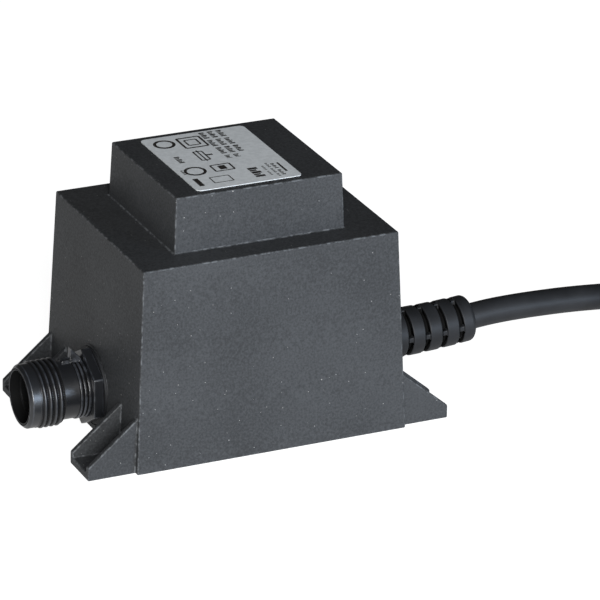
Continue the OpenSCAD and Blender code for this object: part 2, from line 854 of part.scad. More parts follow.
// Key along the top of the neck, with the ramp lug on it: steep toward the mouth, sloping to the wall
module key_lug() {
    base = (neck_r + socket_r) / 2;
    key_top = neck_r + key_h;
    translate([-wall_x, 0, axis_z])
        rotate([90, 0, 0]) {
            linear_extrude(key_w, center = true)
                polygon([
                    [-key_from, base], [-key_from, key_top], [key_h / 2 - key_to, key_top],
                    [-key_to, key_top - key_h / 2], [-key_to, base]
                ]);
            linear_extrude(lug_w, center = true)
                polygon([
                    [-key_from, base], [-key_from, key_top], [lug_lean - lug_to, key_top + lug_h],
                    [-lug_to, key_top], [-lug_to, base]
                ]);
        }
}

module contact_insert() {
    color([0.14, 0.14, 0.15])
    out_of_wall(-1, insert_back + fit_gap)
        difference() {
            cylinder(h = insert_t - fit_gap, r = socket_r - fit_gap);
            for (s = [-1, 1]) {
                translate([0, s * pin_gap / 2, -cut])
                    cylinder(h = insert_t + 2 * cut, r = pin_r + fit_gap / 2);
            }
        }
}

// Contact pin with a round tip and a collar that stops it behind the insert
module contact_pin(s) {
    color([0.85, 0.70, 0.35])
    translate([0, s * pin_gap / 2, 0])
        out_of_wall(-1, shell_back - pin_tail)
            rotate_extrude() {
                tail = insert_back - shell_back + pin_tail;
                reach = tail + insert_t + pin_reach;
                difference() {
                    union() {
                        square([pin_r, reach - pin_r]);
                        translate([0, reach - pin_r]) circle(pin_r);
                        translate([0, tail - collar_t]) square([collar_r, collar_t]);
                    }
                    translate([-2 * pin_r, 0]) square([2 * pin_r, reach + cut]);
                }
            }
}

module contact_pin_a() {
    contact_pin(-1);
}

module contact_pin_b() {
    contact_pin(1);
}

module lock_nut() {
    color([0.09, 0.09, 0.10])
    out_of_wall(-1, seal_t)
        difference() {
            cylinder(h = nut_t, r = nut_af / 2 / cos(30), $fn = 6);
            translate([0, 0, -cut]) cylinder(h = nut_t + 2 * cut, r = neck_r + fit_gap);
        }
}

module wall_seal() {
    color([0.05, 0.05, 0.05])
    out_of_wall(-1)
        difference() {
            cylinder(h = seal_t, r = seal_r);
            translate([0, 0, -cut]) cylinder(h = seal_t + 2 * cut, r = neck_r + fit_gap);
        }
}

// Places a shape on the boot's axis at a distance d from the wall, pointing along it
module on_boot(d) {
    translate(boot_point(d)) rotate([0, 90 - boot_tilt(d), 0]) children();
}

// Boot of the lead: flanges and neck at the wall, then rings joined by a slim sleeve and four bridges
module strain_relief() {
    first_end = slot_first - slot_w / 2;
    shoulder = shoulder_share * tip_len;
    color([0.13, 0.14, 0.15])
    difference() {
        union() {
            out_of_wall(1)
                rotate_extrude()
                    polygon([
                        [0, flange_at - boot_back_t], [boot_back_r, flange_at - boot_back_t],
                        [boot_back_r, flange_at], [boot_neck_r, flange_at], [boot_neck_r, fit_gap],
                        [boot_flange_r, fit_gap], [boot_flange_r, boot_flange_t],
                        [boot_r, (boot_flange_t + first_end) / 2], [boot_r, first_end], [0, first_end]
                    ]);
            for (i = [0:slot_count - 1]) {
                d = slot_first + i * slot_pitch;
                ring_d = d + slot_pitch / 2;
                on_boot(d) cylinder(h = slot_w + 2 * boot_lap, r = slot_r, center = true);
                for (a = [0:90:270]) {
                    on_boot(d)
                        rotate([0, 0, a])
                            translate([(boot_radius(d) - bridge_sink) / 2, 0, 0])
                                cube(
                                    [boot_radius(d) - bridge_sink, bridge_w, slot_w + 2 * boot_lap],
                                    center = true
                                );
                }
                if (i < slot_count - 1)
                    on_boot(ring_d)
                        cylinder(h = slot_pitch - slot_w, r = boot_radius(ring_d), center = true);
            }
            on_boot(boot_len)
                translate([0, 0, -tip_len])
                    rotate_extrude() {
                        square([boot_tip_r, tip_len - shoulder]);
                        square([boot_tip_r - shoulder, tip_len]);
                        translate([boot_tip_r - shoulder, tip_len - shoulder]) circle(shoulder);
                    }
        }
        tube(boot_axis(-bend_from, cord_d), boot_bore, bore_sides, [0, 0, -1]);
    }
}

module cord_clamp() {
    color([0.60, 0.61, 0.62])
    out_of_wall(1, clamp_at - clamp_len)
        difference() {
            cylinder(h = clamp_len, r = clamp_r);
            translate([0, 0, -cut]) cylinder(h = clamp_len + 2 * cut, r = boot_bore);
        }
}

// Sheath of the lead inside the boot and the wall, up to its stripped end
module cord_sheath() {
    color([0.11, 0.11, 0.12])
        tube(boot_axis(sheath_from, 0), cord_d / 2, cord_sides, [0, 0, -1]);
}

module mains_cord() {
    color([0.11, 0.11, 0.12]) tube(free_path, cord_d / 2, cord_sides, [0, 0, -1]);
}

module cord_coil() {
    color([0.11, 0.11, 0.12]) tube(coil_path, cord_d / 2, coil_sides, [0, 0, -1]);
}

module cord_tail() {
    color([0.11, 0.11, 0.12]) tube(tail_path, cord_d / 2, cord_sides, [0, 0, -1]);
}

// Flat two-pin plug, drawn from its own strain relief toward its face
module plug_body() {
    corner = plug_corner_share * plug_w;
    waist = (1 - plug_straight_share) * plug_l;
    color([0.10, 0.10, 0.11])
    translate(plug_at)
        rotate([90, 0, 90]) {
            cylinder(h = plug_boot_l + boot_lap, r1 = plug_boot_tip_r, r2 = plug_boot_r);
            translate([0, 0, plug_boot_l])
                intersection() {
                    rotate([90, 0, 0])
                        linear_extrude(plug_t, center = true)
                            polygon([
                                [-plug_rear_w / 2, 0], [plug_rear_w / 2, 0], [plug_w / 2, waist],
                                [plug_w / 2, plug_l], [-plug_w / 2, plug_l], [-plug_w / 2, waist]
                            ]);
                    rotate([90, 0, 90])
                        linear_extrude(plug_w, center = true)
                            polygon([
                                [-plug_rear_t / 2, 0], [plug_rear_t / 2, 0], [plug_t / 2, waist / 2],
                                [plug_t / 2, plug_l], [-plug_t / 2, plug_l], [-plug_t / 2, waist / 2]
                            ]);
                    linear_extrude(plug_l)
                        polygon([
                            [-plug_w / 2, 0], [corner - plug_w / 2, -plug_t / 2],
                            [plug_w / 2 - corner, -plug_t / 2], [plug_w / 2, 0],
                            [plug_w / 2 - corner, plug_t / 2], [corner - plug_w / 2, plug_t / 2]
                        ]);
                }
        }
}

module plug_pin(s) {
    tip = prong_round_share * prong_r;
    color([0.72, 0.70, 0.66])
    translate([plug_at[0] + plug_boot_l + plug_l, plug_at[1] + s * prong_gap / 2, plug_at[2]])
        rotate([0, 90, 0])
            rotate_extrude()
                polygon([
                    [0, 0], [prong_r, 0], [prong_r, prong_l - tip], [prong_r - tip, prong_l], [0, prong_l]
                ]);
}

module plug_pin_a() {
    plug_pin(-1);
}

module plug_pin_b() {
    plug_pin(1);
}

housing();
rating_label();
potting_resin();
core_e();
core_i();
coil_former();
primary_winding();
secondary_winding();
primary_tape();
secondary_tape();
thermal_cutout();
tag_live();
tag_neutral();
tag_out_a();
tag_out_b();
lead_live();
lead_neutral();
lead_out_a();
lead_out_b();
socket_shell();
contact_insert();
contact_pin_a();
contact_pin_b();
lock_nut();
wall_seal();
strain_relief();
cord_clamp();
cord_sheath();
mains_cord();
cord_coil();
cord_tail();
plug_body();
plug_pin_a();
plug_pin_b();
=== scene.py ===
import json
import math

import bmesh
import bpy
from bpy.props import FloatProperty, FloatVectorProperty, IntProperty, PointerProperty
from mathutils import Euler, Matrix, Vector


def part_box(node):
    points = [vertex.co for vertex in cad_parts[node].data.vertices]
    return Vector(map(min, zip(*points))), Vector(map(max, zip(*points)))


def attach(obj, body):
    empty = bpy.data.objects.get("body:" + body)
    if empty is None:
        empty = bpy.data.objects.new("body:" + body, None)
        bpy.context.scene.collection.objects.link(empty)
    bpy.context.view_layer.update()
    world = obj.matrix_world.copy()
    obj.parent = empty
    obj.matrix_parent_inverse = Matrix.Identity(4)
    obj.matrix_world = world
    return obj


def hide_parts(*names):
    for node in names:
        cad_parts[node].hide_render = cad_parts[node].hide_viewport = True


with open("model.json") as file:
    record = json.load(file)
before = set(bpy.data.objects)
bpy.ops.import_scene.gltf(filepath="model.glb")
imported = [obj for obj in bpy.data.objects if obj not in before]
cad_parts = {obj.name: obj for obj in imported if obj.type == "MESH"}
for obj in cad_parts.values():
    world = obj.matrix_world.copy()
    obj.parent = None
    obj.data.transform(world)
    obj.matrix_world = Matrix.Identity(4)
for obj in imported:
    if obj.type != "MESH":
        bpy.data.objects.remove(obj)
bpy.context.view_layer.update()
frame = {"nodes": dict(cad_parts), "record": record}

bl_info = {
    "name": "Potted Transformer",
    "version": (1, 0, 0),
    "blender": (4, 5, 0),
    "location": "3D View > Sidebar > Transformer",
    "description": "Finishes, thread, rating label and mains lead of a potted outdoor transformer",
    "category": "Object",
}

MM = 0.001
UP = Vector((0, 0, 1))

# The lead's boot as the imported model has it, in millimetres: the wall that it leaves and the height of its
# axis there, its length, and the bend that lifts its end
BOOT_WALL = 36.970588
BOOT_HEIGHT = 12.0
BOOT_LENGTH = 33.6
BEND_FROM = 9.0
BEND_RISE = 1.1


# Shader maths

class Signal:
    """A shader socket that can be written in sums"""

    def __init__(self, look, socket):
        self.look = look
        self.socket = socket

    def __add__(self, other):
        return self.look.math("ADD", self, other)

    __radd__ = __add__

    def __sub__(self, other):
        return self.look.math("SUBTRACT", self, other)

    def __rsub__(self, other):
        return self.look.math("SUBTRACT", other, self)

    def __mul__(self, other):
        return self.look.math("MULTIPLY", self, other)

    __rmul__ = __mul__

    def __gt__(self, other):
        return self.look.math("GREATER_THAN", self, other)

    def __lt__(self, other):
        return self.look.math("LESS_THAN", self, other)

    def __abs__(self):
        return self.look.math("ABSOLUTE", self)


class Look:
    """A material's node tree, built up by expressions and one method that adds a node"""

    def __init__(self, holder):
        """Starts a new material of a name, or the tree of the world"""
        self.holder = bpy.data.materials.new(holder) if isinstance(holder, str) else holder
        self.holder.use_nodes = True
        self.tree = self.holder.node_tree
        self.tree.nodes.clear()

    def add(self, kind, settings=None, values=None, out=0):
        """Adds a node, sets its settings and then its sockets, and gives one of its outputs"""
        node = self.tree.nodes.new(kind)
        for name, value in (settings or {}).items():
            setattr(node, name, value)
        for name, value in (values or {}).items():
            if isinstance(value, Signal):
                self.tree.links.new(value.socket, node.inputs[name])
            else:
                node.inputs[name].default_value = value
        return Signal(self, node.outputs[out]) if node.outputs else None

    def math(self, operation, *values):
        return self.add("ShaderNodeMath", {"operation": operation}, dict(enumerate(values)))

    def attribute(self, name):
        """A mark that the modelling left on the mesh"""
        return self.add("ShaderNodeAttribute", {"attribute_name": name}, out="Fac")

    def place(self):
        """The point's place on the object, in metres"""
        return self.add("ShaderNodeTexCoord", out="Object")

    def along(self, axis):
        """The point's place along one axis, X, Y or Z"""
        return self.add("ShaderNodeSeparateXYZ", values={0: self.place()}, out=axis)

    def noise(self, scale, detail=2.0, roughness=0.5):
        """Soft noise with a number of waves for each metre"""
        values = {"Vector": self.place(), "Scale": scale, "Detail": detail, "Roughness": roughness}
        return self.add("ShaderNodeTexNoise", values=values)

    def ramp(self, value, low, high):
        """0 below low, 1 above high and smooth between them"""
        return self.add(
            "ShaderNodeMapRange",
            {"interpolation_type": "SMOOTHSTEP"},
            {"Value": value, "From Min": low, "From Max": high},
        )

    def mix(self, share, low, high):
        """A colour between two colours"""
        return self.add("ShaderNodeMix", {"data_type": "RGBA"}, {0: share, 6: low, 7: high}, out=2)

    def specks(self, scale, size, share):
        """Small round specks: cells for each metre, a speck's size, and the share of cells with one"""
        values = {"Vector": self.place(), "Scale": scale}
        near = self.add("ShaderNodeTexVoronoi", values=values, out="Distance")
        cell = self.add("ShaderNodeTexVoronoi", values=values, out="Color")
        pick = self.add("ShaderNodeSeparateColor", values={0: cell})
        return (pick < share) * (near < size)

    def bump(self, height, distance, strength):
        """Relief of a height signal, whose 1 stands a distance in metres above its 0"""
        values = {"Height": height, "Distance": distance, "Strength": strength}
        return self.add("ShaderNodeBump", values=values)

    def surface(self, painted_shade=None, **values):
        """Closes the tree with a Principled shader, mixed with a dull dark shader as painted shade where a
        mask is given
        """
        names = {name.replace("_", " ").title().replace("Ior", "IOR"): v for name, v in values.items()}
        shader = self.add("ShaderNodeBsdfPrincipled", values=names)
        if painted_shade:
            # Painted shade: a dull near-black shader that the mask mixes in
            dull = self.add("ShaderNodeBsdfPrincipled", values={
                "Base Color": (0.004, 0.004, 0.004, 1), "Roughness": 0.95, "Specular IOR Level": 0.1})
            shader = self.add("ShaderNodeMixShader", values={0: painted_shade, 1: shader, 2: dull})
        self.add("ShaderNodeOutputMaterial", values={"Surface": shader})
        return self.holder


def rgb(colour, factor=1.0):
    """A colour property, made lighter or darker, with its alpha"""
    return tuple(min(1.0, c * factor) for c in colour[:3]) + (1.0,)


# Finishes

def spark_plastic(name, look, colour):
    """Moulded plastic with the mottled grain and pale specks of a spark-eroded tool"""
    m = Look(name)
    mottle = m.noise(1700, detail=4.0, roughness=0.62)
    cloud = m.noise(34)
    grain = m.noise(2600, roughness=0.6)
    tone = m.ramp(mottle * 0.7 + cloud * 0.3, 0.33, 0.67)
    base = m.mix(tone, rgb(colour, 1 - look.mottling), rgb(colour, 1 + look.mottling))
    worn = m.attribute("edge") * m.ramp(m.noise(700, detail=3.0), 0.44, 0.62) * look.edge_wear
    base = m.mix(worn, base, rgb(colour, 3.2))
    fine = m.specks(520, size=0.06, share=look.speck_share)
    large = m.specks(240, size=0.042, share=look.speck_share * 0.55)
    dust = m.math("MAXIMUM", fine, large)
    base = m.mix(dust * 0.7, base, rgb(look.speck_colour))
    rough = 0.62 - 0.14 * mottle
    bump = m.bump(grain + mottle * 0.8, distance=0.06 * MM, strength=0.55)
    return m.surface(base_color=base, roughness=rough, specular_ior_level=look.gloss, normal=bump)


def gloss_plastic(name, colour, rough=0.3, wear=0.5, gloss=0.5):
    """Smooth moulded plastic with faint haze, a painted highlight on its marked edges and crests, and painted
    shade where its mesh is marked
    """
    m = Look(name)
    haze = m.noise(420, detail=3.0)
    # Painted highlight: wear scales how far marked edges and crests are lightened, up to five times the
    # colour
    painted_highlight = m.attribute("edge") * wear * m.ramp(haze, 0.35, 0.65)
    base = m.mix(painted_highlight, rgb(colour), rgb(colour, 5.0))
    rough = rough + 0.12 * haze
    bump = m.bump(m.noise(1500), distance=0.03 * MM, strength=0.35)
    # Painted shade where the mesh marks it
    return m.surface(
        painted_shade=m.attribute("shade_mask"), base_color=base, roughness=rough, specular_ior_level=gloss, normal=bump)


def soft_rubber(name, colour, rough=0.52):
    """Matte flexible moulding with a fine skin, dust, slightly polished edges, and painted shade where its
    mesh is marked
    """
    m = Look(name)
    skin = m.noise(2100)
    patch = m.noise(120, detail=3.0)
    tone = m.mix(m.ramp(patch, 0.3, 0.7), rgb(colour, 0.8), rgb(colour, 1.25))
    tone = m.mix(m.attribute("edge") * 0.25, tone, rgb(colour, 2.0))
    dust = m.specks(430, size=0.06, share=0.06)
    tone = m.mix(dust * 0.6, tone, (0.35, 0.35, 0.35, 1))
    rough = rough + 0.1 * patch
    bump = m.bump(skin + 0.6 * m.noise(520), distance=0.04 * MM, strength=0.5)
    # Painted shade in the slots, where the mesh marks it
    return m.surface(
        painted_shade=m.attribute("shade_mask"), base_color=tone, roughness=rough, specular_ior_level=0.35, normal=bump)


def metal(name, colour, rough=0.3):
    """Metal with a fine grain and a little tarnish"""
    m = Look(name)
    lines = m.noise(1800, detail=3.0, roughness=0.6)
    stain = m.noise(260, detail=3.0)
    base = m.mix(m.ramp(stain, 0.35, 0.7), rgb(colour), rgb(colour, 0.75))
    bump = m.bump(lines, distance=0.02 * MM, strength=0.4)
    return m.surface(base_color=base, metallic=1.0, roughness=rough + 0.18 * lines, normal=bump)


def cast_resin(name, colour):
    """Cast potting resin: a glossy skin with slow waves, small pits and pale filler"""
    m = Look(name)
    wave = m.noise(28)
    pits = m.specks(180, size=0.12, share=0.2)
    filler = m.noise(900, detail=3.0)
    base = m.mix(m.ramp(filler, 0.4, 0.7), rgb(colour, 0.8), rgb(colour, 1.5))
    bump = m.bump(wave - 0.25 * pits, distance=1.2 * MM, strength=0.5)
    return m.surface(base_color=base, roughness=0.22 + 0.15 * filler + 0.3 * pits, normal=bump)


def plain_works(name, colour, rough=0.45):
    """Smooth insulation, film or nylon of the inner works, with faint variation"""
    m = Look(name)
    tone = m.noise(600, detail=3.0)
    base = m.mix(m.ramp(tone, 0.3, 0.7), rgb(colour, 0.85), rgb(colour, 1.15))
    bump = m.bump(tone, distance=0.03 * MM, strength=0.3)
    return m.surface(base_color=base, roughness=rough + 0.1 * tone, normal=bump)


def label_film(name, colour):
    """Satin film of a label, with a faint fibre in it"""
    m = Look(name)
    fibre = m.noise(900, detail=3.0)
    base = m.mix(m.ramp(fibre, 0.3, 0.7), rgb(colour, 0.93), rgb(colour, 1.05))
    rough = 0.42 + 0.1 * fibre
    bump = m.bump(fibre, distance=0.02 * MM, strength=0.4)
    return m.surface(base_color=base, roughness=rough, specular_ior_level=0.4, normal=bump)


def label_ink(name, colour):
    """Ink of a label, a little thin in places"""
    m = Look(name)
    wear = m.noise(2400, detail=3.0)
    base = m.mix(m.ramp(wear, 0.5, 0.8), rgb(colour), rgb(colour, 4))
    return m.surface(base_color=base, roughness=0.4 + 0.2 * wear)


def sleeved_pin(name, sleeve, pin, bare_from):
    """A plug pin: plastic sleeve up to a place along X, and bare metal beyond it"""
    m = Look(name)
    bare = m.along("X") > bare_from
    lines = m.noise(2000, detail=3.0)
    base = m.mix(bare, rgb(sleeve), rgb(pin))
    rough = 0.4 - 0.2 * bare + 0.1 * lines
    bump = m.bump(lines, distance=0.02 * MM, strength=0.3)
    return m.surface(base_color=base, metallic=bare, roughness=rough, normal=bump)


def layered(name, colour, pitch, rough):
    """Stacked sheets or laid wire: lines across Z with the pitch of the layers"""
    m = Look(name)
    wave = abs(m.math("FRACT", m.along("Z") * (1 / pitch)) - 0.5) * 2
    base = m.mix(m.ramp(wave, 0.05, 0.45), rgb(colour, 0.55), rgb(colour, 1.1))
    rough = rough + 0.1 * m.noise(700)
    bump = m.bump(wave, distance=0.3 * pitch, strength=0.8)
    return m.surface(base_color=base, metallic=1.0, roughness=rough, normal=bump)


# Modelling helpers

def slot_colour(name):
    """The base colour of a material slot: the user's where it shows, and the record's inside"""
    outside = bpy.context.scene.transformer_colours
    if name in outside.bl_rna.properties:
        return getattr(outside, name)
    return next(m["base_color"] for m in frame["record"]["materials"] if m["slot"] == name)


def put(bm, name, material, replaces=(), sharp=40):
    """Makes a mesh a piece of the transformer, smooth but for its sharp edges"""
    mesh = bpy.data.meshes.new(name)
    bm.to_mesh(mesh)
    bm.free()
    piece = bpy.data.objects.new(name, mesh)
    bpy.context.scene.collection.objects.link(piece)
    mesh.materials.append(material)
    mesh.shade_smooth()
    mesh.set_sharp_from_angle(angle=math.radians(sharp))
    weighted = piece.modifiers.new("Flat faces stay flat", "WEIGHTED_NORMAL")
    weighted.keep_sharp = True
    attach(piece, "root")
    if replaces:
        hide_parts(*replaces)
    return piece


def edge_layer(bm):
    """The face layer that marks rounded edges, where the shell wears pale, rubber is polished, and glossy
    mouldings get a painted highlight
    """
    return bm.faces.layers.float.get("edge") or bm.faces.layers.float.new("edge")


def merged(node):
    """A copy of a CAD node's mesh with its triangles joined into faces"""
    bm = bmesh.new()
    bm.from_mesh(frame["nodes"][node].data)
    bmesh.ops.remove_doubles(bm, verts=bm.verts, dist=0.002 * MM)
    bmesh.ops.dissolve_limit(bm, angle_limit=math.radians(0.4), verts=bm.verts, edges=bm.edges)
    return bm


def rounded(bm, width, segments=2, angle=30, least=0.0):
    """Rounds the edges that turn by more than an angle and aren't too short, and marks the new faces"""
    mark = edge_layer(bm)
    turns = math.radians(angle)
    sharp = [
        e for e in bm.edges
        if len(e.link_faces) == 2 and e.calc_face_angle() > turns and e.calc_length() > least
    ]
    made = bmesh.ops.bevel(
        bm, geom=sharp, offset=width, offset_type="OFFSET", segments=segments, profile=0.5,
        affect="EDGES", clamp_overlap=False, material=-1,
    )
    for face in made["faces"]:
        face[mark] = 1.0
    return bm


def coat(material, *nodes):
    """Gives CAD nodes a finish"""
    for node in nodes:
        frame["nodes"][node].data.materials.clear()
        frame["nodes"][node].data.materials.append(material)


# Sizes and colours that a user would change

class ShellLook(bpy.types.PropertyGroup):
    colour: FloatVectorProperty(
        name="Shell colour", description="Colour of the moulded shell", subtype="COLOR", size=3,
        default=(0.043, 0.0455, 0.0485), min=0, max=1)
    mottling: FloatProperty(
        name="Mottling", description="How far the grain makes the colour lighter and darker",
        subtype="FACTOR", default=0.34, min=0, max=1)
    gloss: FloatProperty(
        name="Gloss", description="Specular level of the matte shell", subtype="FACTOR",
        default=0.3, min=0, max=1)
    edge_radius: FloatProperty(
        name="Edge radius", description="Radius of the shell's edges", unit="LENGTH",
        default=0.35 * MM, min=0.05 * MM, max=2 * MM, precision=5)
    edge_wear: FloatProperty(
        name="Edge wear", description="Strength of the pale scuffs on the edges", subtype="FACTOR",
        default=0.7, min=0, max=1)
    speck_share: FloatProperty(
        name="Specks", description="Share of the grain's cells that hold a pale speck",
        subtype="FACTOR", default=0.5, min=0, max=1)
    speck_colour: FloatVectorProperty(
        name="Speck colour", description="Colour of the pale specks", subtype="COLOR", size=3,
        default=(0.45, 0.45, 0.44), min=0, max=1)


class OuterColours(bpy.types.PropertyGroup):
    socket: FloatVectorProperty(
        name="Socket colour", description="Colour of the socket and its nut", subtype="COLOR", size=3,
        default=(0.009, 0.01, 0.012), min=0, max=1)
    insert: FloatVectorProperty(
        name="Insert colour", description="Colour of the contact insert", subtype="COLOR", size=3,
        default=(0.012, 0.012, 0.014), min=0, max=1)
    soft: FloatVectorProperty(
        name="Boot colour", description="Colour of the soft boot and the wall seal", subtype="COLOR", size=3,
        default=(0.015, 0.016, 0.018), min=0, max=1)
    sheath: FloatVectorProperty(
        name="Lead colour", description="Colour of the mains lead", subtype="COLOR", size=3,
        default=(0.017, 0.018, 0.02), min=0, max=1)
    plug: FloatVectorProperty(
        name="Plug colour", description="Colour of the plug and its pins' sleeves", subtype="COLOR", size=3,
        default=(0.02, 0.021, 0.024), min=0, max=1)


class LabelLook(bpy.types.PropertyGroup):
    film: FloatVectorProperty(
        name="Film colour", description="Colour of the rating label", subtype="COLOR", size=3,
        default=(0.88, 0.92, 0.94), min=0, max=1)
    ink: FloatVectorProperty(
        name="Ink colour", description="Colour of the print", subtype="COLOR", size=3,
        default=(0.02, 0.017, 0.015), min=0, max=1)


class SocketSizes(bpy.types.PropertyGroup):
    axis_height: FloatProperty(
        name="Axis height", description="Height of the socket's axis above the base", unit="LENGTH",
        default=12 * MM, precision=4)
    wall_place: FloatProperty(
        name="Wall place", description="Distance of the end wall from the middle, on the axis",
        unit="LENGTH", default=36.9706 * MM, precision=6)
    mouth: FloatProperty(
        name="Mouth", description="Radius of the socket's open mouth", unit="LENGTH", default=6.9 * MM,
        precision=5)
    neck: FloatProperty(
        name="Neck", description="Radius of the socket's neck", unit="LENGTH", default=7.6 * MM, precision=5)
    rings_from: FloatProperty(
        name="Rings from", description="Distance of the neck's thin rings from the wall", unit="LENGTH",
        default=3.15 * MM, precision=5)
    rings_to: FloatProperty(
        name="Rings to", description="Distance from the wall at which they end", unit="LENGTH",
        default=6.4 * MM, precision=5)
    thread_root: FloatProperty(
        name="Thread root", description="Radius at the root of the thread", unit="LENGTH",
        default=8.35 * MM, precision=5)
    thread_crest: FloatProperty(
        name="Thread crest", description="Radius at the crest of the thread", unit="LENGTH",
        default=8.8 * MM, precision=5)
    thread_pitch: FloatProperty(
        name="Thread pitch", description="Distance between two turns of the thread", unit="LENGTH",
        default=1.45 * MM, precision=5)
    thread_turns: FloatProperty(
        name="Thread turns", description="Number of turns of the thread", default=4.6, min=1, max=8)
    thread_from: FloatProperty(
        name="Thread start", description="Distance of the first turn from the wall", unit="LENGTH",
        default=10.6 * MM, precision=5)


class LeadSizes(bpy.types.PropertyGroup):
    diameter: FloatProperty(
        name="Diameter", description="Outer diameter of the mains lead", unit="LENGTH",
        default=7 * MM, precision=4)
    length: FloatProperty(
        name="Length", description="Length of the mains lead from its boot to its plug", unit="LENGTH",
        default=1.5)
    coil_radius: FloatProperty(
        name="Coil radius", description="Radius of the coil where its last turn ends", unit="LENGTH",
        default=47.12 * MM, precision=5)
    coil_step: FloatProperty(
        name="Coil step", description="Distance between the coil's turns", unit="LENGTH",
        default=7.7 * MM, precision=4)
    coil_turns: FloatProperty(
        name="Coil turns", description="Turns after the run-in, half a turn more than a whole number",
        default=5.5)
    run_turn: FloatProperty(
        name="Run-in", description="Turn of the coil's run-in, in degrees", default=140)
    run_fall: FloatProperty(
        name="Fall", description="Fall of the lead on the run-in", unit="LENGTH",
        default=3.75 * MM, precision=4)
    climb_turn: FloatProperty(
        name="Last climb", description="Turn of the climb at the coil's end, in degrees", default=36)
    climb_height: FloatProperty(
        name="Climb height", description="Height of that climb", unit="LENGTH",
        default=3.2 * MM, precision=4)
    turn_points: IntProperty(
        name="Points per turn", description="Points of the route on each turn", default=24, min=12)
    tie_width: FloatProperty(
        name="Tie width", description="Width of the strap that ties the coil", unit="LENGTH",
        default=5 * MM, precision=4)
    tie_thickness: FloatProperty(
        name="Tie thickness", description="Thickness of the strap", unit="LENGTH",
        default=0.9 * MM, precision=4)


class PlugSizes(bpy.types.PropertyGroup):
    edge_radius: FloatProperty(
        name="Edge radius", description="Radius of the plug's edges", unit="LENGTH",
        default=1.3 * MM, precision=4)
    sleeve: FloatProperty(
        name="Pin sleeve", description="Length of the insulating sleeve on each pin", unit="LENGTH",
        default=10 * MM, precision=4)


class StageSettings(bpy.types.PropertyGroup):
    camera_place: FloatVectorProperty(
        name="Camera place", description="Place of the camera", subtype="TRANSLATION", size=3,
        default=(-0.427673, -0.966703, 0.483816), precision=5)
    camera_turn: FloatVectorProperty(
        name="Camera turn", description="Rotation of the camera", subtype="EULER", size=3,
        default=(1.165122, -0.015804, -0.428125), precision=5)
    lens: FloatProperty(
        name="Lens", description="Focal length in millimetres on a 36 mm sensor", default=267.04)
    key_power: FloatProperty(
        name="Key light", description="Power of the lamp at the front left, in watts", default=20.6)
    side_power: FloatProperty(
        name="Side light", description="Power of the lamp at the front right, in watts", default=7.8)
    side_colour: FloatVectorProperty(
        name="Side light colour", description="Colour of the lamp at the front right, a cool daylight",
        subtype="COLOR", size=3, default=(0.64, 0.79, 1), min=0, max=1)
    bounce: FloatProperty(
        name="Floor bounce", description="Strength of the light that the pale floor gives back", default=0.36)
    ambient: FloatProperty(
        name="Ambient light", description="Strength of the pale surroundings", default=0.03)


# Stage

